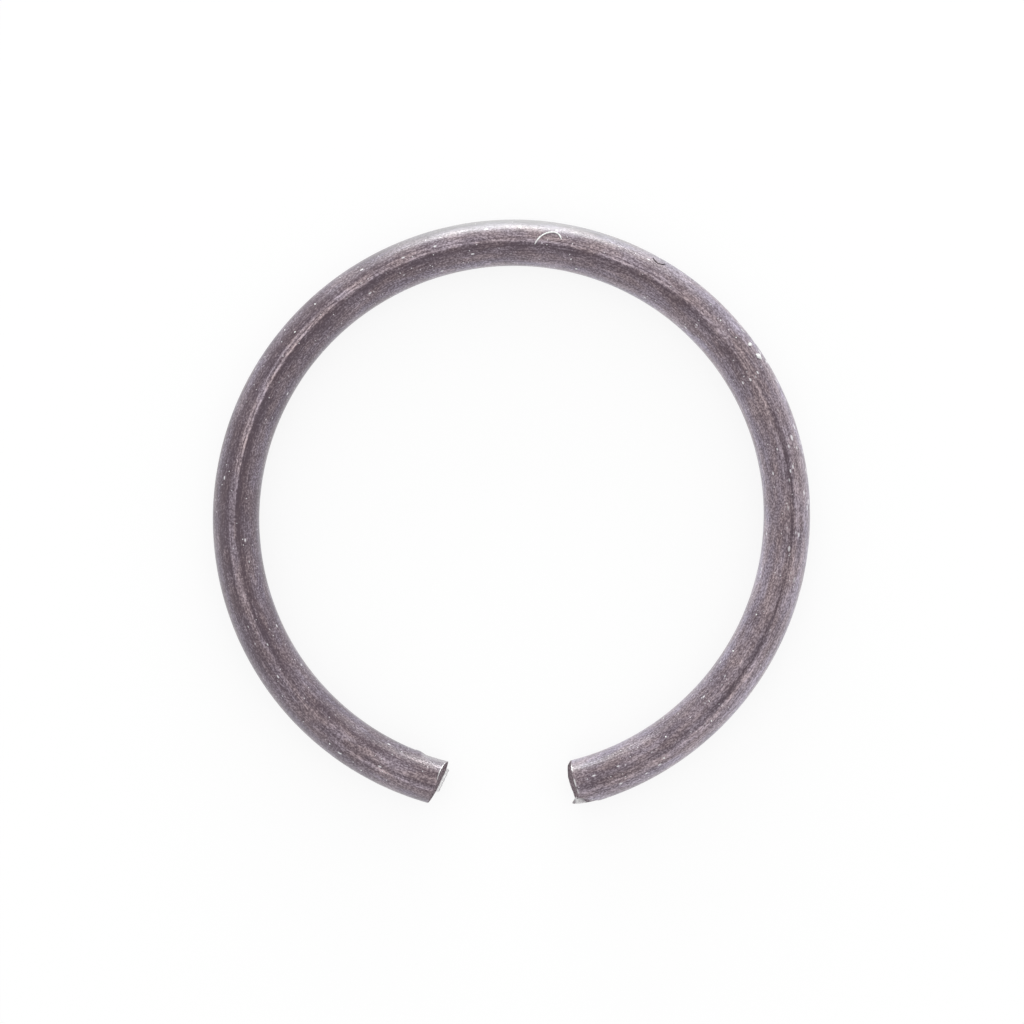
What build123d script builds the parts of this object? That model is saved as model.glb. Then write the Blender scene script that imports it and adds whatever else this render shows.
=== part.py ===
from build123d import *
import math
import os

# A round-wire snap ring for a 12 mm shaft: one length of drawn steel wire, bent round and
# cut off at both ends. The origin is on the ring's axis, halfway up the wire. +Z is the
# ring's axis and the gap faces -Y. Left and right are as seen from +Z with the gap below.
# Lengths are in millimetres and angles in degrees.

# The ring, before it is sprung over its shaft
wire_diameter = 1.0
inner_diameter = 10.8
gap_width = 2.93  # between the end faces, along a chord of the wire's middle line

# Both ends were cut by a blade that leaned, so the foot of each face stands out past its top
blade_lean = 7.5

# Left end: a straight slanting face with a lip of burr along its foot
left_skew = 9.8  # from the ring's radius, the inner corner foremost
lip_length = 0.55
lip_reach = 0.065  # past the face
lip_thickness = 0.03
lip_rise = 0.1  # from the wire's underside to the lip's
lip_shift = -0.03  # along the face, outwards

# Left end: a flat that a jaw pressed on the wire's inner side
nip_length = 0.48
nip_ramp = 0.1  # length of the slope from the wire down to the flat
nip_depth = 0.045
nip_tilt = 5.0  # upwards from facing the ring's axis

# Right end: a slightly bulging face with its inner corner rolled over
rollover_width = 0.105
rollover_length = 0.06
bulge_height = 0.025
bulge_outer_end = 0.19  # outwards from the wire's middle line

# Right end: the outer side squeezed by the blade, and bitten deeper above the flap
squeeze_length = 0.5
squeeze_depth = 0.07
bite_length = 0.42
bite_depth = 0.21

# Right end: the flap of burr that the blade dragged past the face
flap_thickness = 0.045
flap_drop = 0.1  # from the wire's middle down to the flap's top
flap_reach = 0.13  # past the face
flap_tip_width = 0.025
flap_root_width = 0.13  # where the flap leaves the face
flap_bed = 0.2  # how far the flap runs on inside the wire

# Worked out
wire_radius = wire_diameter / 2
mean_radius = (inner_diameter + wire_diameter) / 2
gap_half_angle = math.degrees(math.asin(gap_width / 2 / mean_radius))
left_angle = 270 - gap_half_angle
right_angle = 270 + gap_half_angle
clear = 2 * wire_diameter  # from the wire's middle to well outside it
cut_reach = gap_width / 2 + wire_radius  # from an end face to past the gap's middle


def end_plane(angle, side, skew, lean):
    """A plane at the wire's middle: X outwards along the end face, Y out into the gap.

    side is 1 at the left end and -1 at the right end, where the plane's Z points down.
    """
    radial = Vector(1, 0, 0).rotate(Axis.Z, angle)
    across = radial.rotate(Axis.Z, -side * skew)
    into_gap = Vector(0, 0, side).cross(across)
    lean_angle = math.radians(lean)
    blade = Vector(0, 0, 1) * math.cos(lean_angle) - into_gap * math.sin(lean_angle)
    return Plane(origin=radial * mean_radius, x_dir=across, z_dir=blade * side)


def nip_plane():
    """A plane across the pressed flat, at its middle: X along the wire, Y off the flat."""
    angle = left_angle - math.degrees(nip_length / 2 / mean_radius)
    radial = Vector(1, 0, 0).rotate(Axis.Z, angle)
    along = Vector(0, 0, 1).cross(radial)
    off_flat = (radial * -1).rotate(Axis((0, 0, 0), along), nip_tilt)
    middle = radial * mean_radius + off_flat * (wire_radius - nip_depth)
    return Plane(origin=middle, x_dir=along, z_dir=along.cross(off_flat))


left_face = end_plane(left_angle, 1, left_skew, blade_lean)
left_level = end_plane(left_angle, 1, left_skew, 0)
right_face = end_plane(right_angle, -1, 0, blade_lean)
right_level = end_plane(right_angle, -1, 0, 0)
flap_level = right_level.offset(flap_drop)
gap_section = Plane(origin=(0, 0, 0), x_dir=(0, -1, 0), z_dir=(-1, 0, 0))


def side_cut(length, depth):
    """The outline, on the right end's plane, of a cut that deepens towards the face."""
    Polygon(
        (wire_radius, -length),
        (wire_radius - depth, 0),
        (wire_radius - depth, clear),
        (wire_radius + clear, clear),
        (wire_radius + clear, -length),
        align=None,
    )


with BuildPart() as snap_ring:
    # The bent wire, still closed. Its seam is in the gap, where the cuts take it away.
    with BuildSketch(gap_section):
        with Locations((mean_radius, 0)):
            Circle(wire_radius)
    revolve(axis=Axis.Z)

    # The left end's face
    with BuildSketch(left_face):
        Rectangle(2 * clear, cut_reach, align=(Align.CENTER, Align.MIN))
    extrude(amount=clear, both=True, mode=Mode.SUBTRACT)

    # The right end's face: the rolled corner, the bulge and the straight outer stretch
    with BuildSketch(right_face):
        with BuildLine():
            corner = rollover_width - wire_radius
            rollover_run_out = rollover_length * (corner + clear) / rollover_width
            ThreePointArc(
                (corner, 0),
                ((corner + bulge_outer_end) / 2, bulge_height),
                (bulge_outer_end, 0),
            )
            Polyline(
                (bulge_outer_end, 0),
                (clear, 0),
                (clear, cut_reach),
                (-clear, cut_reach),
                (-clear, -rollover_run_out),
                (corner, 0),
            )
        make_face()
    extrude(amount=clear, both=True, mode=Mode.SUBTRACT)

    # The flat on the left end's inner side, with the slope that leads down to it. The cut is
    # twice as high as what it takes off, and its slope is twice as long.
    with BuildSketch(nip_plane()):
        ramp_foot = -nip_length / 2
        Polygon(
            (ramp_foot - 2 * nip_ramp, 2 * nip_depth),
            (ramp_foot, 0),
            (clear, 0),
            (clear, 2 * nip_depth),
            align=None,
        )
    extrude(amount=clear, both=True, mode=Mode.SUBTRACT)

    # The squeeze over the whole height of the right end's outer side
    with BuildSketch(right_level):
        side_cut(squeeze_length, squeeze_depth)
    extrude(amount=clear, both=True, mode=Mode.SUBTRACT)

    # The bite, from the top of the flap upwards
    with BuildSketch(flap_level):
        side_cut(bite_length, bite_depth)
    extrude(amount=-clear, mode=Mode.SUBTRACT)

    # The flap of burr
    with BuildSketch(flap_level):
        flap_outer = wire_radius - squeeze_depth
        Polygon(
            (flap_outer - bite_depth, -flap_bed),
            (flap_outer, -flap_bed),
            (flap_outer, 0),
            (flap_outer - flap_tip_width / 2, flap_reach),
            (flap_outer - 3 * flap_tip_width / 2, flap_reach),
            (flap_outer - flap_root_width, flap_reach / 2),
            (flap_outer - flap_root_width, 0),
            align=None,
        )
    extrude(amount=flap_thickness)

    # The lip of burr, rooted inside the left end's foot
    lip_drop = wire_radius - lip_rise
    face_setback = lip_drop * math.tan(math.radians(blade_lean))
    with BuildSketch(left_level.offset(-lip_drop)):
        with Locations((lip_shift, 0)):
            Rectangle(lip_length, face_setback + lip_reach, align=(Align.CENTER, Align.MIN))
    extrude(amount=lip_thickness)

os.makedirs("parts", exist_ok=True)
snap_ring.part.label = "snap_ring"
export_step(snap_ring.part, "parts/snap_ring.step")
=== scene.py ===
"""The looks of a round-wire snap ring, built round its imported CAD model.

Lengths are in millimetres and angles in degrees until a mesh or an object is made. A place in
the wire is (out, up, angle): how far outwards and up it is from the wire's middle line, and its
angle round the ring, anticlockwise from +X. Angles round the wire's section run from its crown,
positive outwards. Left and right are as seen from above, with the gap below.
"""

import math

import bmesh
import bpy
import numpy as np
from mathutils import Matrix, Vector, noise


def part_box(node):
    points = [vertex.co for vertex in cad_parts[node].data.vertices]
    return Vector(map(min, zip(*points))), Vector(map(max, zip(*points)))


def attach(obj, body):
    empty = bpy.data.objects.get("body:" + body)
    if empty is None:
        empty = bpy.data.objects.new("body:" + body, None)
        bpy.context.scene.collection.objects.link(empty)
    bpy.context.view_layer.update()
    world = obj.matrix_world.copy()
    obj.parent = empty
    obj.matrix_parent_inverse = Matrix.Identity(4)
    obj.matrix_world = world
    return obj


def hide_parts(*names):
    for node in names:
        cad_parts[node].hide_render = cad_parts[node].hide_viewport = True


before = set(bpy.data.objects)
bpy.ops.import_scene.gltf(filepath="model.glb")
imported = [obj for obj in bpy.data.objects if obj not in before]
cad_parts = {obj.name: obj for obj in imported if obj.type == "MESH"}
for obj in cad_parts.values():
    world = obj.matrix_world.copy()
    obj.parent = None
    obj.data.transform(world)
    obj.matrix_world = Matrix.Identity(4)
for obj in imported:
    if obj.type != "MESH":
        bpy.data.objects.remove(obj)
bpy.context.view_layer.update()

MM = 0.001
NODE = "snap_ring"
BODY = "root"

# The ring's sizes, from the CAD node
ring_low, ring_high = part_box(NODE)
wire_radius = (ring_high[2] - ring_low[2]) / 2 / MM
outer_radius = ring_high[0] / MM
mean_radius = outer_radius - wire_radius
relief_dip = 0.001  # how far the wire's relief may dip below its box
floor_level = ring_low[2] - relief_dip * MM

# The ring as bent: slightly oval, with its longer axis at this angle
oval_rise = 0.027
oval_angle = 31.8

# The two sheared ends
gap_width = 2.93
gap_half_angle = math.degrees(math.asin(gap_width / 2 / mean_radius))
left_angle = 270 - gap_half_angle
right_angle = gap_half_angle - 90
blade_lean = math.tan(math.radians(7.5))
left_skew = math.tan(math.radians(9.8))

# The mesh of the wire
around_count = 96  # points round each section
along_count = 940  # sections along the wire
end_spacing = 0.013  # from section to section at the ends
middle_spacing = 0.041  # and far from them
crowding_reach = 0.9  # from an end to where the spacing opens out
slant_reach = 0.9  # from an end to where its face's slant has left the sections
cap_rings = 22  # rings of points over each cut face
cap_crowding = 1.15  # above 1, the rings are closer together at the rim


def smooth(x, low, high):
    """0 below low, 1 above high, and a smooth rise between."""
    t = np.clip((x - low) / (high - low), 0, 1)
    return t * t * (3 - 2 * t)


def window(x, low, high, fade):
    """1 between low and high, fading to 0 outside them."""
    return smooth(x, low - fade, low) * (1 - smooth(x, high, high + fade))


def ramp(past, length):
    """A straight rise from 0 to 1, over a length that ends where past is 0."""
    return np.clip(past / length + 1, 0, 1)


def grain(points, seed):
    """Blender's smooth noise, about -1 to 1, at each point of an array."""
    shift = Vector((17.3 * seed, 5.1 * seed, 9.7 * seed))
    values = [noise.noise(Vector(point) + shift) for point in points.reshape(-1, 3)]
    return np.reshape(values, points.shape[:-1])


def past_left(angle):
    """How far an angle is past the left end, along the wire's middle line."""
    return np.radians(angle - left_angle) * mean_radius


def past_right(angle):
    """How far an angle is past the right end, along the wire's middle line."""
    return np.radians(right_angle - angle) * mean_radius


# The section's shape: a flat pressed into the left end's inner side, and the right end's outer
# side squeezed, with a deeper bite above the flap. Lengths are from the end's face inwards.
nip_length = 0.48
nip_ramp = 0.1
nip_depth = 0.045
nip_tilt = math.radians(5)
squeeze_length = 0.45
squeeze_depth = 0.05
bite_length = 0.42
bite_depth = 0.19
flap_drop = 0.1  # from the wire's middle down to the flap's top
edge_blend = 0.006  # how softly a flat or the bite meets the round wire
squeeze_blend = 0.012
least_facing = 1e-3  # keeps a plane that a direction runs along from being endlessly far


def to_plane(out, up, facing_out, facing_up, distance):
    """How far from the middle a direction meets a plane that faces another direction."""
    return distance / np.maximum(out * facing_out + up * facing_up, least_facing)


def softened(a, b, blend):
    """The smaller of two lengths, with a rounded change from one to the other."""
    h = np.clip(0.5 + (b - a) / (2 * blend), 0, 1)
    return b * (1 - h) + a * h - blend * h * (1 - h)


def section_radius(out, up, angle):
    """The wire's radius in a direction across it, at an angle round the ring."""
    radius = np.full_like(out, wire_radius)

    sunk = nip_depth * ramp(past_left(angle) + nip_length, nip_ramp)
    flat = to_plane(out, up, -math.cos(nip_tilt), math.sin(nip_tilt), wire_radius - sunk)
    radius = softened(radius, flat, edge_blend)

    squeezed = squeeze_depth * ramp(past_right(angle), squeeze_length)
    side = to_plane(out, up, 1, 0, wire_radius - squeezed)
    radius = softened(radius, side, squeeze_blend)

    bitten = bite_depth * ramp(past_right(angle), bite_length)
    wall = to_plane(out, up, 1, 0, wire_radius - bitten)
    ledge = to_plane(out, up, 0, -1, flap_drop)
    wall = np.where(ledge < wall, 2 * wire_radius, wall)
    return softened(radius, wall, edge_blend)


# The cut faces, as how far each point stands past its end
left_upright = 0.7  # the share of its lean that the left face lacks, high on its outer side
left_upright_out = (-0.3, 0.05)  # where that starts and where it is full
right_upper_lean = 0.6  # the share of its lean that the right face has above the middle
rollover_width = 0.105
rollover_length = 0.06
bulge_height = 0.025
bulge_inner_end = rollover_width - wire_radius
bulge_outer_end = 0.19


def leaning(up, share):
    """How far a face stands out for the blade's lean, and only share of it above the middle."""
    return -blade_lean * np.where(up > 0, share * up, up)


def left_face(out, up):
    """The left face slants, and is more upright towards its outer side."""
    return -out * left_skew + leaning(up, 1 - left_upright * smooth(out, *left_upright_out))


def right_face(out, up):
    """The right face bulges, and its inner corner is rolled over."""
    middle = (bulge_inner_end + bulge_outer_end) / 2
    half = (bulge_outer_end - bulge_inner_end) / 2
    bulge = bulge_height * np.clip(1 - ((out - middle) / half) ** 2, 0, 1)
    rolled = rollover_length * np.minimum((out - bulge_inner_end) / rollover_width, 0)
    return bulge + rolled + leaning(up, right_upper_lean)


# Fine relief on the wire's side, as its height, and how fast it changes across and along
drawing_lines = (0.0022, 9, 0.12)
waves = (0.0016, 1.2, 1.6)

# A pit on the crown near the left end
pit_angle = 242.6
pit_out = -0.1
pit_floor_radius = 0.022
pit_rim_radius = 0.066
pit_depth = 0.022

# The metal that the jaw pushed up on the inner side, before the flat that it pressed
ridge_height = 0.011
ridge_start, ridge_end, ridge_fade = -0.67, -0.62, 0.07  # past the left end
ridge_turn = (45, 75)  # inwards round the section: where it starts, and where it is full


def relief(out, up, angle):
    """How far the surface stands proud of a true round: drawing lines, waves and wear."""
    along = np.radians(angle) * mean_radius
    height = np.zeros_like(out)
    for seed, (size, across_rate, along_rate) in enumerate((drawing_lines, waves), 1):
        points = np.stack([out * across_rate, up * across_rate, along * along_rate], -1)
        height += size * grain(points, seed)

    across = wire_radius * (np.arctan2(out, up) - math.asin(pit_out / wire_radius))
    from_pit = np.hypot(across, along - math.radians(pit_angle) * mean_radius)
    height -= pit_depth * (1 - smooth(from_pit, pit_floor_radius, pit_rim_radius))

    inwards = smooth(-np.degrees(np.arctan2(out, up)), *ridge_turn)
    ridge = window(past_left(angle), ridge_start, ridge_end, ridge_fade)
    return height + ridge_height * ridge * inwards


def stations():
    """Angles along the wire, from the right end to the left, closer together at the ends."""
    trial_count = 4000
    length = math.radians(left_angle - right_angle) * mean_radius
    at = np.linspace(0, length, trial_count)
    crowding = np.exp(-((np.minimum(at, length - at) / crowding_reach) ** 2))
    density = 1 / middle_spacing + (1 / end_spacing - 1 / middle_spacing) * crowding
    count = np.concatenate([[0], np.cumsum((density[1:] + density[:-1]) / 2)])
    picked = np.interp(np.linspace(0, count[-1], along_count), count, at)
    return right_angle + np.degrees(picked / mean_radius)


def placed(out, up, angle):
    """Points in space, in metres, from places in the wire."""
    turned = np.radians(angle)
    bend = mean_radius + oval_rise * np.cos(2 * (turned - math.radians(oval_angle)))
    reach = bend + out
    return np.stack([reach * np.cos(turned), reach * np.sin(turned), up], -1) * MM


def wire_surface():
    """The wire's side as (out, up, angle) arrays, one row a section."""
    turns = np.linspace(0, 2 * math.pi, around_count, endpoint=False)
    angle, turn = np.meshgrid(stations(), turns, indexing="ij")
    out, up = np.sin(turn), np.cos(turn)
    radius = section_radius(out, up, angle) + relief(out, up, angle)
    out, up = out * radius, up * radius
    up = np.maximum(up, -wire_radius)

    # Towards an end, the sections take on the slant of its face
    left_slant = smooth(past_left(angle), -slant_reach, 0) * left_face(out, up)
    right_slant = smooth(past_right(angle), -slant_reach, 0) * right_face(out, up)
    return out, up, angle + np.degrees((left_slant - right_slant) / (mean_radius + out))


# The cut faces' relief: scars that run up the sheared part, and a rougher torn part below
scar_height = 0.008
tear_height = 0.022
tear_start, tear_full = 0.05, 0.2  # down from the wire's middle


def cap_points(out, up, face, side, end_angle):
    """Rings of points over a cut face, from just inside its rim to its middle."""
    rings = []
    for k in range(1, cap_rings):
        share = 1 - (k / cap_rings) ** cap_crowding
        o, u = out * share, up * share
        scars = grain(np.stack([o * 14, u * 3.5, np.zeros_like(o)], -1), 3)
        tears = grain(np.stack([o * 9, u * 9, np.ones_like(o)], -1), 4)
        torn = smooth(-u, tear_start, tear_full)
        rough = scar_height * (1 - torn) * scars + tear_height * torn * tears
        stands = face(o, u) + min(k / 2, 1) * rough  # at half height in the first ring
        rings.append((o, u, end_angle + side * np.degrees(stands / (mean_radius + o))))
    stands = face(np.zeros(1), np.zeros(1))
    middle = (np.zeros(1), np.zeros(1), end_angle + side * np.degrees(stands / mean_radius))
    return rings, middle


# Bare steel on the wire's side: faintly where the jaw pressed it, and on stretches of the cut
# faces' rims, where it is partly real bare steel and partly painted glints, placed and whitened
# where light catches the rims; the stretches as from and to which angle round the section, how
# far they fade, and how bare
pressed_bare = 0.12
pressed_turn = (40, 60)  # inwards round the section: where it starts, and where it is full
left_rim_glints = [(-66, -9, 4, 1.0)]
left_rim_past = (-0.017, -0.004)  # past the face: where the rim starts, and where it is full
right_rim_glints = [(-56, -36, 4, 0.5), (-12, 4, 3, 0.9), (13, 22, 3, 0.6)]
right_rim_past = (-0.036, -0.008)


def rim_glint_bareness(turn, past_face, start_and_full, stretches):
    """How bare the stretches of a cut face's rim are, as bare steel and painted glints."""
    torn = sum(share * window(turn, low, high, fade) for low, high, fade, share in stretches)
    return smooth(past_face, *start_and_full) * torn


def bareness(out, up, angle):
    """How bare the wire's side is, from 0 to 1, with the painted glints on the cut faces' rims.
    """
    turn = np.degrees(np.arctan2(out, up))
    flat = smooth(past_left(angle), -nip_length - nip_ramp, -nip_length)
    pressed = pressed_bare * flat * smooth(-turn, *pressed_turn)
    left = rim_glint_bareness(turn, past_left(angle) - left_face(out, up), left_rim_past, left_rim_glints)
    right = rim_glint_bareness(turn, past_right(angle) - right_face(out, up), right_rim_past, right_rim_glints)
    return np.maximum(pressed, np.maximum(left, right))


def grid_faces(index):
    """The four-cornered faces between a grid of points."""
    corners = [index[:-1, :-1], index[:-1, 1:], index[1:, 1:], index[1:, :-1]]
    return np.stack(corners, -1).reshape(-1, 4).tolist()


def tube_index(rows, sides):
    """The numbers of a tube's points, each row ending on its first point again."""
    index = np.arange(rows * sides).reshape(rows, sides)
    return np.concatenate([index, index[:, :1]], 1)


def tube_and_caps():
    """The wire's closed surface: its places as (out, up, angle), its faces, how bare each
    place is (painted glints on the rims included), and whether it is on a cut end."""
    out, up, angle = wire_surface()
    side_rows = [(out[k], up[k], angle[k]) for k in range(along_count)]
    right_rings, right_middle = cap_points(out[0], up[0], right_face, -1, right_angle)
    left_rings, left_middle = cap_points(out[-1], up[-1], left_face, 1, left_angle)
    rows = right_rings[::-1] + side_rows + left_rings
    places = [np.concatenate([row[k] for row in rows]) for k in range(3)]
    cap_rows = [1.0] * (cap_rings - 1)
    cut = np.repeat(cap_rows + [0.0] * along_count + cap_rows, around_count)
    bare = bareness(*places) * (1 - cut)
    bare, cut = np.concatenate([bare, [0, 0]]), np.concatenate([cut, [1, 1]])
    places = [np.concatenate([places[k], right_middle[k], left_middle[k]]) for k in range(3)]

    index = tube_index(len(rows), around_count)
    right_centre = index.max() + 1
    faces = grid_faces(index)
    for first, second in zip(index[0], index[0, 1:]):
        faces.append([first, right_centre, second])
    for first, second in zip(index[-1], index[-1, 1:]):
        faces.append([first, second, right_centre + 1])
    return places, faces, bare, cut


edge_share = 0.15  # of a sheet's thickness, left at its edges


def sheet(out, up, past, thickness, end_angle, side, bare):
    """A thin closed sheet of burr over a grid of places, so far past an end."""
    rows, columns = out.shape
    edge = np.ones_like(out)
    edge[[0, -1]] = edge_share
    edge[:, [0, -1]] = edge_share
    half = thickness / 2 * edge
    out, past = np.stack([out, out]), np.stack([past, past])
    up = np.stack([up + half, up - half])
    angle = end_angle + side * np.degrees(past / (mean_radius + out))

    top, bottom = np.arange(2 * rows * columns).reshape(2, rows, columns)
    faces = grid_faces(top[:, ::-1]) + grid_faces(bottom)
    rim = [(0, k) for k in range(columns)] + [(k, columns - 1) for k in range(1, rows)]
    rim += [(rows - 1, k) for k in range(columns - 2, -1, -1)]
    rim += [(k, 0) for k in range(rows - 2, 0, -1)]
    for a, b in zip(rim, rim[1:] + rim[:1]):
        faces.append([top[a], top[b], bottom[b], bottom[a]])
    bare = np.stack([bare, bare]).ravel()
    return [x.ravel() for x in (out, up, angle)], faces, bare, np.zeros(bare.size)


# The flap of burr on the right end's outer side. Its two edges are given as how far past the
# face each point is, and how far out.
flap_inner_edge = [(-0.42, 0.33), (0.0, 0.28), (0.065, 0.33), (0.13, 0.4)]
flap_outer_edge = [(-0.42, 0.47), (-0.25, 0.465), (0.0, 0.452), (0.1, 0.434), (0.13, 0.418)]
flap_thickness = 0.04
flap_lift = 0.05  # how steeply it rises past the face
flap_wobble = 0.006  # of its outer edge
flap_ripple = 0.008  # up and down
flap_rows, flap_columns = 34, 9


def flap():
    """The flap of burr on the right end, with its point out past the face."""
    root, tip = flap_inner_edge[0][0], flap_inner_edge[-1][0]
    grid = np.linspace(root, tip, flap_rows), np.linspace(0, 1, flap_columns)
    past, share = np.meshgrid(*grid, indexing="ij")
    inner = np.interp(past, *zip(*flap_inner_edge))
    outer = np.interp(past, *zip(*flap_outer_edge))
    outer += flap_wobble * np.sin(past * 61) * np.sin(past * 23 + 1)
    out = inner + (outer - inner) * share
    up = -flap_drop - flap_thickness / 2 + flap_lift * np.clip(past, 0, 1)
    up += flap_ripple * np.sin(past * 30 + out * 9)
    bare = 0.3 + 0.5 * smooth(past, -0.3, 0) * (1 - smooth(past, 0.02, 0.1))
    return sheet(out, up, past, flap_thickness, right_angle, -1, bare)


# The lip of burr along the foot of the left end's face
lip_inner, lip_outer = -0.305, 0.245
lip_reach = 0.065  # past the face
lip_rooting = 0.04  # the share of its reach that it runs on inside the wire
lip_rise = 0.1  # from the wire's underside to the lip's middle
lip_droop = 0.03  # at its edge
lip_thickness = 0.018
lip_columns, lip_rows = 30, 8


def lip():
    """The lip of burr on the left end, ragged along its edge and grey there."""
    grid = np.linspace(0, 1, lip_columns), np.linspace(-lip_rooting, 1, lip_rows)
    share, step = np.meshgrid(*grid, indexing="ij")
    out = lip_inner + (lip_outer - lip_inner) * share
    ragged = 1 + 0.08 * np.sin(share * 29) + 0.05 * np.sin(share * 71 + 2)
    taper = np.minimum(1, 0.45 + 9 * np.minimum(share, 1 - share))
    reach = lip_reach * step * np.where(step > 0, ragged * taper, 1)
    up = lip_rise - wire_radius - lip_droop * step**2
    bare = 1 - 0.8 * smooth(step, 0.72, 0.95)
    return sheet(out, up, left_face(out, up) + reach, lip_thickness, left_angle, 1, bare)


def ring_mesh():
    """The wire and its burrs as one mesh. It keeps each point's place as "wire" (out, up and
    along the middle line), how bare the steel is there, with the rims' painted glints, as "bare",
    and the cut ends as "cut"."""
    places, faces, bare, cut = [], [], [], []
    for shell, shell_faces, shell_bare, shell_cut in (tube_and_caps(), flap(), lip()):
        count = sum(len(x) for x in bare)
        places.append(shell)
        faces += [[count + corner for corner in face] for face in shell_faces]
        bare.append(shell_bare)
        cut.append(shell_cut)
    out, up, angle = (np.concatenate([shell[k] for shell in places]) for k in range(3))
    mesh = bpy.data.meshes.new("ring_wire")
    mesh.from_pydata(placed(out, up, angle).tolist(), [], faces)
    along = np.radians(angle) * mean_radius
    keep(mesh, "wire", "FLOAT_VECTOR", "vector", np.stack([out, up, along], -1))
    keep(mesh, "bare", "FLOAT", "value", np.concatenate(bare))
    keep(mesh, "cut", "FLOAT", "value", np.concatenate(cut))
    return mesh


def keep(mesh, name, kind, field, values):
    """Stores a value for each of a mesh's vertices."""
    kept = mesh.attributes.new(name, kind, "POINT")
    kept.data.foreach_set(field, values.astype(np.float32).ravel())


sharp_angle = 40  # between two faces, from which the edge between them shows


def shown(mesh, name, material):
    """An object for a mesh, smooth but for its sharp edges, in the scene."""
    mesh.shade_smooth()
    mesh.set_sharp_from_angle(angle=math.radians(sharp_angle))
    mesh.materials.append(material)
    made = bpy.data.objects.new(name, mesh)
    bpy.context.scene.collection.objects.link(made)
    return made


# Dust and lint

# White chips of dust on the wire, as the angle round the ring, the distance out from the
# wire's middle and the chip's length
chips = [
    (37.1, 0.37, 0.11), (34.2, 0.37, 0.15), (133.9, 0.32, 0.05), (141.7, 0.41, 0.04),
    (140.7, 0.21, 0.04), (126.8, 0.43, 0.04), (39.8, 0.22, 0.035), (44.4, 0.21, 0.035),
    (78.2, -0.24, 0.03), (76.6, -0.4, 0.05), (-30.0, -0.34, 0.05), (-53.7, -0.13, 0.04),
    (-51.8, -0.46, 0.04), (-44.4, 0.23, 0.04), (-20.5, -0.25, 0.04), (-41.8, -0.1, 0.035),
    (235.4, 0.32, 0.035), (232.5, 0.3, 0.04), (240.5, 0.39, 0.035), (-56.5, 0.23, 0.05),
]
chip_width = 0.35  # these three are shares of a chip's length
chip_thickness = 0.25
chip_rise = 0.15  # from the wire's surface to the chip's middle
chip_turn = 1.9  # how much further round each chip is turned, in radians

# The white curl of lint and the short dark one, as (angle, out) places, and their thickness
lint_course = [(86.3, -0.04), (84.8, 0.18), (83.1, 0.26), (81.8, 0.24), (81.0, 0.13)]
lint_thickness = 0.032
hair_course = [(62.6, 0.42), (61.2, 0.36), (59.8, 0.43)]
hair_thickness = 0.02
fibre_sides, fibre_steps = 8, 40


def dust_mesh():
    """Small uneven chips, bedded a little into the wire's surface."""
    built = bmesh.new()
    for number, (angle, out, length) in enumerate(chips):
        lean = math.asin(out / wire_radius)
        reach = wire_radius + chip_rise * length
        spot = placed(np.sin(lean) * reach, np.cos(lean) * reach, angle)
        turn = Matrix.Rotation(math.radians(angle), 4, "Z") @ Matrix.Rotation(lean, 4, "Y")
        turn = turn @ Matrix.Rotation(chip_turn * number, 4, "Z")
        half = length / 2 * MM
        size = Matrix.Diagonal((half, 2 * chip_width * half, 2 * chip_thickness * half, 1))
        matrix = Matrix.Translation(spot) @ turn @ size
        made = bmesh.ops.create_icosphere(built, subdivisions=2, radius=1, matrix=matrix)
        for vertex in made["verts"]:
            push = 0.5 * noise.noise(vertex.co / MM * 30)
            vertex.co += (vertex.co - Vector(spot)) * push
    mesh = bpy.data.meshes.new("dust_chips")
    built.to_mesh(mesh)
    built.free()
    return mesh


def fibre_mesh(name, course, thickness):
    """A fibre lying on the wire, along a course of (angle, out) places, as a closed tube."""
    share = np.linspace(0, 1, fibre_steps)
    bend = np.polyfit(np.linspace(0, 1, len(course)), np.array(course), len(course) - 1)
    angle, out = (np.polyval(bend[:, k], share) for k in range(2))
    up = np.sqrt(np.maximum((wire_radius + thickness / 3) ** 2 - out**2, 0))
    line = placed(out, up, angle)
    ahead = np.gradient(line, axis=0)
    ahead /= np.linalg.norm(ahead, axis=1, keepdims=True)
    beside = np.cross(ahead, (0, 0, 1))
    beside /= np.linalg.norm(beside, axis=1, keepdims=True)
    above = np.cross(beside, ahead)
    taper = np.minimum(1, 0.4 + 6 * np.minimum(share, 1 - share))
    girth = (thickness / 2 * MM * taper)[:, None]
    rows = []
    for turn in np.linspace(0, 2 * math.pi, fibre_sides, endpoint=False):
        rows.append(line + girth * (math.cos(turn) * beside + math.sin(turn) * above))
    points = np.stack(rows, 1).reshape(-1, 3)

    index = tube_index(fibre_steps, fibre_sides)
    faces = grid_faces(index[:, ::-1])
    faces += [index[0, :-1].tolist(), index[-1, -2::-1].tolist()]
    mesh = bpy.data.meshes.new(name)
    mesh.from_pydata(points.tolist(), [], faces)
    return mesh


# Materials


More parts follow.
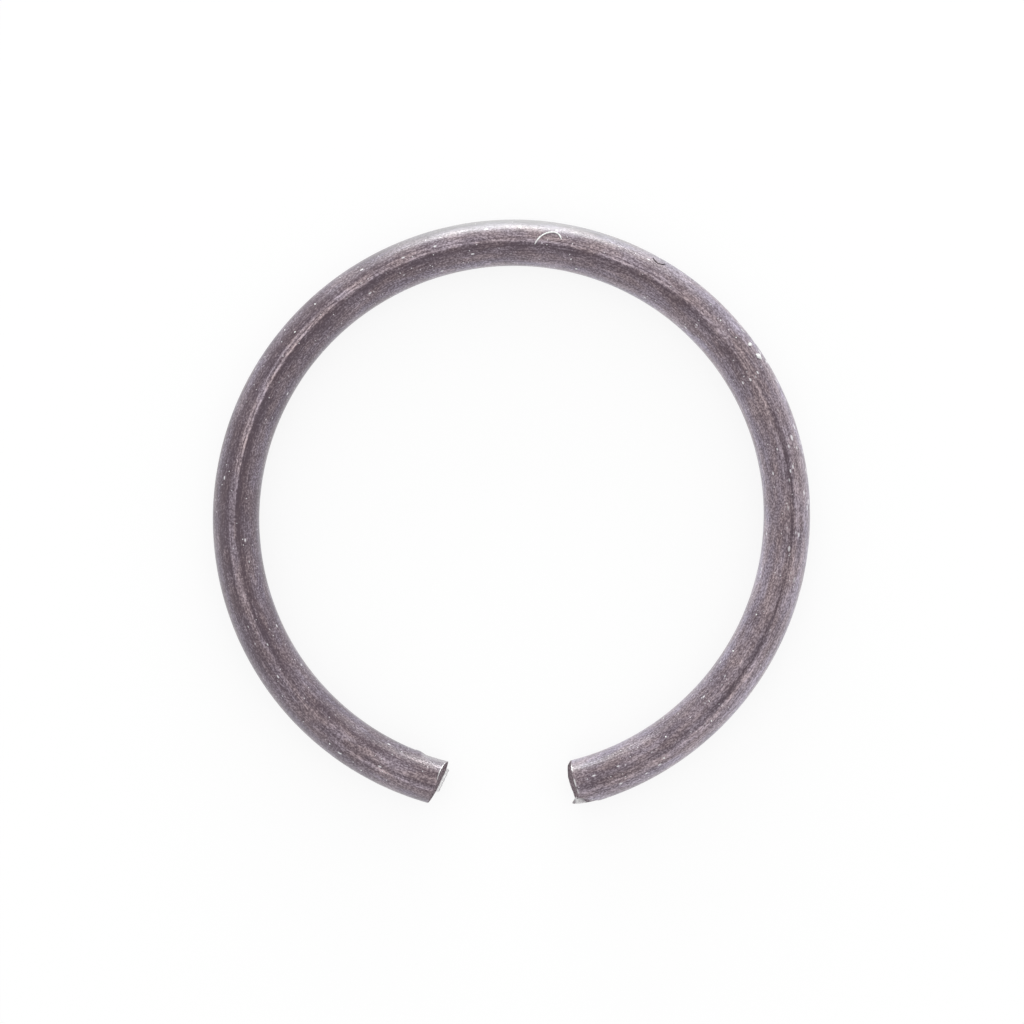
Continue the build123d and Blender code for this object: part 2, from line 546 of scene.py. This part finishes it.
class Nodes:
    """Short ways to add nodes to a material's tree. A value may be a number or a socket."""

    def __init__(self, owner):
        owner.use_nodes = True
        self.tree = owner.node_tree
        self.tree.nodes.clear()

    def feed(self, socket, value):
        if isinstance(value, bpy.types.NodeSocket):
            self.tree.links.new(value, socket)
        else:
            socket.default_value = value

    def add(self, kind, inputs=(), **settings):
        node = self.tree.nodes.new(kind)
        for name, value in settings.items():
            setattr(node, name, value)
        for name, value in dict(inputs).items():
            self.feed(node.inputs[name], value)
        return node

    def math(self, operation, *values):
        node = self.add("ShaderNodeMath", enumerate(values), operation=operation)
        return node.outputs[0]

    def rise(self, value, low, high, start=0.0, end=1.0):
        """start below low, end above high, and a smooth change between."""
        node = self.add(
            "ShaderNodeMapRange",
            {"Value": value, "From Min": low, "From Max": high, "To Min": start, "To Max": end},
            interpolation_type="SMOOTHSTEP",
        )
        return node.outputs["Result"]

    def band(self, value, low, low_fade, high, high_fade, level=1.0):
        """level between low and high, changing to 0 within a fade of each."""
        return self.math(
            "MULTIPLY",
            self.rise(value, low - low_fade, low + low_fade),
            self.rise(value, high - high_fade, high + high_fade, level, 0.0),
        )

    def mix(self, share, a, b, way="MIX"):
        """A colour between two others. Sockets 6 and 7 are the node's colours, and output 2."""
        colours = {"Factor": share, 6: a, 7: b}
        node = self.add("ShaderNodeMix", data_type="RGBA", blend_type=way)
        for name, value in colours.items():
            self.feed(node.inputs[name], value)
        return node.outputs[2]

    def noise(self, vector, scale, detail=2.0, roughness=0.5):
        node = self.add(
            "ShaderNodeTexNoise",
            {"Vector": vector, "Scale": scale, "Detail": detail, "Roughness": roughness},
        )
        return node.outputs["Fac"]

    def stretched(self, vector, across, along):
        """The wire's places, scaled across the wire and along it."""
        node = self.add(
            "ShaderNodeVectorMath", {0: vector, 1: (across, across, along)}, operation="MULTIPLY"
        )
        return node.outputs[0]


# The steel's colours, each pair from dark to pale or from one kind of place to the other
skin_dark, skin_pale = (0.043, 0.013, 0.032, 1), (0.582, 0.502, 0.557, 1)
crown_tint, flank_tint = (1.04, 0.98, 0.97, 1), (0.98, 0.98, 1.06, 1)
warm_tint, cool_tint = (1.045, 1, 0.95, 1), (0.98, 1, 1.07, 1)
# The grey of the painted reflection on the outer side opposite the gap
painted_reflection_grey = (0.4, 0.395, 0.4, 1)
face_dark, face_pale = (0.085, 0.065, 0.074, 1), (0.37, 0.305, 0.335, 1)
# Near-white bare steel, used for the real bare places and for the painted glints on the cut
# faces' rims
bare_and_glint_dull, bare_and_glint_bright = (0.88, 0.87, 0.87, 1), (1, 1, 1, 1)
speck_white = (0.85, 0.83, 0.86, 1)

# The skin's tone, from 0 to 1: its middle level, and the power that deepens its darks
middle_tone = 0.42
tone_power = 1.8

# What runs along the wire: where across its section, from and to which angle round the
# ring, how far each edge fades, and how much lighter or darker it is.
#       low edge  fade  high edge fade   from   fade   to    fade   tone
streaks = [
    (2.0, 0.9, 8.0, 1.5, 44, 28, 122, 12, 0.4),
    (2.6, 0.9, 8.0, 1.2, 122, 12, 136, 6, 0.52),
    (0.8, 0.8, 5.8, 1.0, 136, 6, 155, 6, 0.68),
    (-1.8, 1.0, 4.6, 1.4, 155, 6, 175, 8, 0.58),
    (11.2, 1.4, 17.0, 1.8, 30, 20, 120, 10, 0.27),
    (10.4, 1.2, 15.8, 1.6, 120, 10, 155, 6, 0.4),
    (7.0, 1.4, 12.8, 1.6, 155, 6, 175, 8, 0.38),
    (-5, 2, 13, 2, 178, 8, 208, 10, 0.24),
    (11.6, 1.2, 15.0, 1.2, 177, 6, 194, 8, 0.2),
    (-6, 2, 8, 2, 208, 10, 262, 6, 0.22),
    (-18, 14, -0.8, 0.8, 28, 16, 222, 24, -0.36),
    (-16, 5, -3, 2.0, 152, 18, 206, 14, -0.14),
    (18, 2, 44, 8, 128, 20, 222, 20, -0.3),
    (27, 2.5, 34, 2.5, 206, 8, 230, 6, 0.24),
    (17.5, 2.5, 26, 3, 233, 6, 262, 6, 0.42),
    (9, 2, 14, 2, 228, 8, 262, 6, -0.14),
    (-11, 2.5, -4, 2.5, 230, 8, 262, 6, 0.2),
    (-25, 4, -18, 3, 222, 10, 262, 6, -0.2),
    (-38, 4, -24, 4, 222, 10, 246, 6, -0.12),
    # A painted glint along the inner flank, just before the left end
    (-44, 1.5, -37, 1.5, 247, 2, 257, 1, 0.4),
    (6.5, 3, 15.0, 1.6, -44, 6, 26, 10, -0.43),
    (21.0, 2.5, 34, 5, -80, 8, -58, 8, 0.34),
    (18.5, 1.8, 32, 6, -58, 8, -27, 6, 0.4),
    (19.5, 2.0, 31, 5, -27, 6, 22, 10, 0.2),
    (-13, 3, -6, 3, -66, 12, -12, 12, 0.22),
    (-5, 3, 3, 3, 8, 8, 46, 12, 0.24),
    # Painted sheen: the next two rows lighten both flanks of the section, as the grazing
    # reflection at the wire's edges
    (42, 6, 90, 6, -80, 8, 80, 40, 0.32),
    (-90, 6, -52, 8, -80, 8, 120, 40, 0.28),
]


def streak_tone(n, wire, across, angle):
    """The sum of all the streaks' tones, broken up along their length."""
    total = 0.0
    for low, low_fade, high, high_fade, start, start_fade, end, end_fade, tone in streaks:
        beside = n.band(across, low, low_fade, high, high_fade)
        stretch = n.band(angle, start, start_fade, end, end_fade, tone)
        total = n.math("ADD", total, n.math("MULTIPLY", beside, stretch))
    broken = n.rise(n.noise(n.stretched(wire, 30, 4.0), 1.0, 3.0, 0.65), 0.32, 0.66, 0.2, 1.0)
    return n.math("MULTIPLY", total, broken)


def specks(n, places, density, unused, size):
    """Scattered dots, density a millimetre before that share of them is left out."""
    cells = n.add("ShaderNodeTexVoronoi", {"Vector": places, "Scale": density})
    draw = n.add("ShaderNodeSeparateXYZ", {"Vector": cells.outputs["Color"]}).outputs["X"]
    dot = n.rise(cells.outputs["Distance"], 0.6 * size, size, 0.8, 0.0)
    return n.math("MULTIPLY", dot, n.math("GREATER_THAN", draw, unused))


def all_specks(n, wire, across, angle):
    """Chips and scratches too small to model, and more of them on the right side."""
    drawn_out = n.stretched(wire, 1, 0.45)
    scuffed = n.math("MULTIPLY", n.band(angle, -10, 14, 42, 8), n.band(across, 1, 7, 95, 15))
    scuffs = n.math("MULTIPLY", specks(n, drawn_out, 8, 0.4, 0.26), scuffed)
    scratches = specks(n, drawn_out, 5.5, 0.58, 0.12)
    dots = specks(n, wire, 9, 0.6, 0.14)
    return n.math("MAXIMUM", n.math("MAXIMUM", scratches, dots), scuffs)


def skin_colour(n, wire, across, angle, lines, flecks):
    """The dark skin, with a painted reflection: a smoother, plainer grey on the outer side
    opposite the gap."""
    # Painted reflection: the outer side opposite the gap turns a smoother, plainer grey, with
    # less grit
    opposite = n.band(angle, 66, 18, 115, 19)
    reflection_patch = n.math("MULTIPLY", opposite, n.band(across, 50, 16, 120, 20, 0.7))
    grit = n.rise(reflection_patch, 0.0, 0.6, 0.27, 0.12)
    tone = middle_tone
    for part in (
        n.rise(lines, 0.3, 0.7, -0.13, 0.13),
        n.math("MULTIPLY", n.rise(flecks, 0.3, 0.7, -1.0, 1.0), grit),
        n.rise(n.noise(wire, 1.3, 3.0, 0.55), 0.3, 0.7, -0.07, 0.07),
        n.math("MULTIPLY", n.math("COSINE", n.math("RADIANS", angle)), 0.05),
        streak_tone(n, wire, across, angle),
    ):
        tone = n.math("ADD", tone, part)
    tone = n.math("POWER", n.math("MAXIMUM", tone, 0.0), tone_power)
    skin = n.mix(tone, skin_dark, skin_pale)

    flank = n.rise(n.math("ABSOLUTE", across), 18, 60)
    skin = n.mix(1.0, skin, n.mix(flank, crown_tint, flank_tint), "MULTIPLY")
    patches = n.rise(n.noise(n.stretched(wire, 4.5, 1.4), 1.0, 2.0, 0.5), 0.34, 0.66)
    skin = n.mix(1.0, skin, n.mix(patches, warm_tint, cool_tint), "MULTIPLY")
    return n.mix(reflection_patch, skin, painted_reflection_grey)


def steel():
    """Drawn wire under a dark phosphate skin, lined along its length, with dark, scarred cut
    faces and bare rims. The skin carries a painted reflection and painted sheen on its flanks,
    and the rims' bare steel is partly painted glints."""
    made = bpy.data.materials.new("dark_steel")
    n = Nodes(made)
    wire = n.add("ShaderNodeAttribute", attribute_name="wire").outputs["Vector"]
    bare = n.add("ShaderNodeAttribute", attribute_name="bare").outputs["Fac"]
    in_face = n.add("ShaderNodeAttribute", attribute_name="cut").outputs["Fac"]
    in_skin = n.math("SUBTRACT", 1.0, in_face)

    # The angle round the ring, and the one round the section, which sways a little along it
    out, up, along = n.add("ShaderNodeSeparateXYZ", {"Vector": wire}).outputs
    angle = n.math("DIVIDE", n.math("DEGREES", along), mean_radius)
    sway = n.rise(n.noise(n.stretched(wire, 0, 0.5), 1.0, 1.0), 0.3, 0.7, -0.9, 0.9)
    across = n.math("ADD", n.math("DEGREES", n.math("ARCTAN2", out, up)), sway)

    lines = n.noise(n.stretched(wire, 44, 1.6), 1.0, 3.0, 0.6)
    flecks = n.noise(n.stretched(wire, 33, 21), 1.0, 2.0, 0.62)
    scars = n.rise(n.noise(n.stretched(wire, 18, 18), 1.0, 3.0, 0.6), 0.34, 0.66)
    speck = all_specks(n, wire, across, angle)

    skin = skin_colour(n, wire, across, angle, lines, flecks)
    colour = n.mix(in_face, skin, n.mix(scars, face_dark, face_pale))
    # Bare steel and the painted glints on the cut faces' rims, near white
    bare = n.math("MULTIPLY", bare, n.rise(scars, 0.0, 0.8, 0.8, 1.0))
    colour = n.mix(bare, colour, n.mix(scars, bare_and_glint_dull, bare_and_glint_bright))
    colour = n.mix(speck, colour, speck_white)

    height = n.math("ADD", n.math("MULTIPLY", lines, 0.6), n.math("MULTIPLY", flecks, 0.5))
    height = n.math("ADD", height, n.math("MULTIPLY", speck, 0.8))
    bump = n.add("ShaderNodeBump", {"Height": height, "Strength": 0.4, "Distance": 0.006 * MM})
    shader = n.add(
        "ShaderNodeBsdfPrincipled",
        {
            "Base Color": colour,
            "Metallic": n.math("MAXIMUM", bare, n.math("MULTIPLY", 0.3, in_skin)),
            "Specular IOR Level": n.math("MULTIPLY", 0.5, in_skin),
            "Roughness": n.rise(flecks, 0.2, 0.8, 0.4, 0.54),
            "Normal": bump.outputs[0],
            "Coat Weight": in_skin,
            "Coat Roughness": 0.36,
            "Coat IOR": 1.65,
        },
    )
    n.add("ShaderNodeOutputMaterial", {"Surface": shader.outputs[0]})
    return made


def fluff(name, colour):
    """Dry dust or lint, uneven in its shade."""
    made = bpy.data.materials.new(name)
    n = Nodes(made)
    place = n.add("ShaderNodeTexCoord").outputs["Object"]
    share = n.rise(n.noise(place, 40 / MM, 3.0, 0.6), 0.3, 0.6)
    shades = [tuple(x * level for x in colour) + (1,) for level in (0.7, 1)]
    shader = n.add(
        "ShaderNodeBsdfPrincipled",
        {"Base Color": n.mix(share, *shades), "Roughness": 0.8},
    )
    n.add("ShaderNodeOutputMaterial", {"Surface": shader.outputs[0]})
    return made


def white_floor():
    """A white floor. Seen directly or in the metal, it is mostly its own white."""
    made = bpy.data.materials.new("floor_white")
    n = Nodes(made)
    kind = n.add("ShaderNodeLightPath")
    seen = n.math("MAXIMUM", kind.outputs["Is Camera Ray"], kind.outputs["Is Glossy Ray"])
    seen = n.math("MAXIMUM", seen, kind.outputs["Is Transmission Ray"])
    plain = n.add("ShaderNodeBsdfDiffuse", {"Color": (0.85, 0.85, 0.85, 1)})
    faint = n.add("ShaderNodeBsdfDiffuse", {"Color": (0.17, 0.17, 0.17, 1)})
    own = n.add("ShaderNodeEmission", {"Color": (1, 1, 1, 1), "Strength": 0.845})
    pale = n.add("ShaderNodeAddShader", {0: faint.outputs[0], 1: own.outputs[0]})
    mixed = n.add("ShaderNodeMixShader", {0: seen, 1: plain.outputs[0], 2: pale.outputs[0]})
    n.add("ShaderNodeOutputMaterial", {"Surface": mixed.outputs[0]})
    return made


# The stage: camera, floor, world and lamps

picture_width = 21.985
camera_lens = 200.0
camera_roll = -1.19
camera_shift = (0.011, 0.105)  # across the picture and down it
camera_near, camera_far = 0.01, 20  # of its distance
floor_half = 300
lamp_colour = (0.93, 1, 0.95)  # cool enough that its gleam on the purplish skin is white


def make_camera():
    """Straight above the ring, far enough for a long lens to frame it."""
    data = bpy.data.cameras.new("camera")
    data.lens = camera_lens
    distance = picture_width * camera_lens / data.sensor_width
    data.clip_start, data.clip_end = camera_near * distance * MM, camera_far * distance * MM
    made = bpy.data.objects.new("camera", data)
    turn = math.radians(-camera_roll)
    across, down = camera_shift
    x = across * math.cos(turn) - down * math.sin(turn)
    y = across * math.sin(turn) + down * math.cos(turn)
    made.location = (x * MM, y * MM, distance * MM)
    made.rotation_euler = (0, 0, turn)
    bpy.context.scene.collection.objects.link(made)
    bpy.context.scene.camera = made


def make_floor():
    """A wide flat floor, just under the ring."""
    mesh = bpy.data.meshes.new("floor")
    half = floor_half * MM
    corners = [(-half, -half, floor_level), (half, -half, floor_level)]
    corners += [(half, half, floor_level), (-half, half, floor_level)]
    mesh.from_pydata(corners, [], [(0, 1, 2, 3)])
    mesh.materials.append(white_floor())
    made = bpy.data.objects.new("floor", mesh)
    bpy.context.scene.collection.objects.link(made)


def make_world():
    """An even white tent, a little dimmer overhead."""
    made = bpy.data.worlds.new("tent")
    bpy.context.scene.world = made
    n = Nodes(made)
    direction = n.add("ShaderNodeTexCoord").outputs["Generated"]
    upward = n.add("ShaderNodeSeparateXYZ", {"Vector": direction}).outputs["Z"]
    level = n.rise(upward, 0.1, 0.95, 1.0, 0.75)
    kind = n.add("ShaderNodeLightPath")
    level = n.math("MAXIMUM", level, kind.outputs["Is Camera Ray"])
    glow = n.add("ShaderNodeBackground", {"Color": (1, 1, 1, 1), "Strength": level})
    n.add("ShaderNodeOutputWorld", {"Surface": glow.outputs[0]})


def make_lamp(name, place, size, power):
    """A soft rectangular lamp that faces the ring, its power in watts."""
    data = bpy.data.lights.new(name, "AREA")
    data.shape = "RECTANGLE"
    data.size, data.size_y = (x * MM for x in size)
    data.energy = power
    data.color = lamp_colour
    made = bpy.data.objects.new(name, data)
    made.location = Vector(place) * MM
    made.rotation_euler = (-made.location).to_track_quat("-Z", "Y").to_euler()
    bpy.context.scene.collection.objects.link(made)


make_camera()
make_floor()
make_world()
make_lamp("window", (-4, 120, 5), (80, 38), 0.135)
make_lamp("sky", (0, 150, 45), (260, 80), 0.06)

ring = shown(ring_mesh(), "ring_wire", steel())
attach(ring, BODY)
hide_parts(NODE)

dust = shown(dust_mesh(), "dust_chips", fluff("dust", (1, 1, 1)))
lint = fibre_mesh("lint_fibre", lint_course, lint_thickness)
lint = shown(lint, "lint_fibre", fluff("lint", (1, 1, 1)))
hair = fibre_mesh("dark_hair", hair_course, hair_thickness)
hair = shown(hair, "dark_hair", fluff("hair", (0.05, 0.04, 0.045)))
for piece in (dust, lint, hair):
    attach(piece, BODY)

view = bpy.context.scene.view_settings
view.view_transform = "Standard"
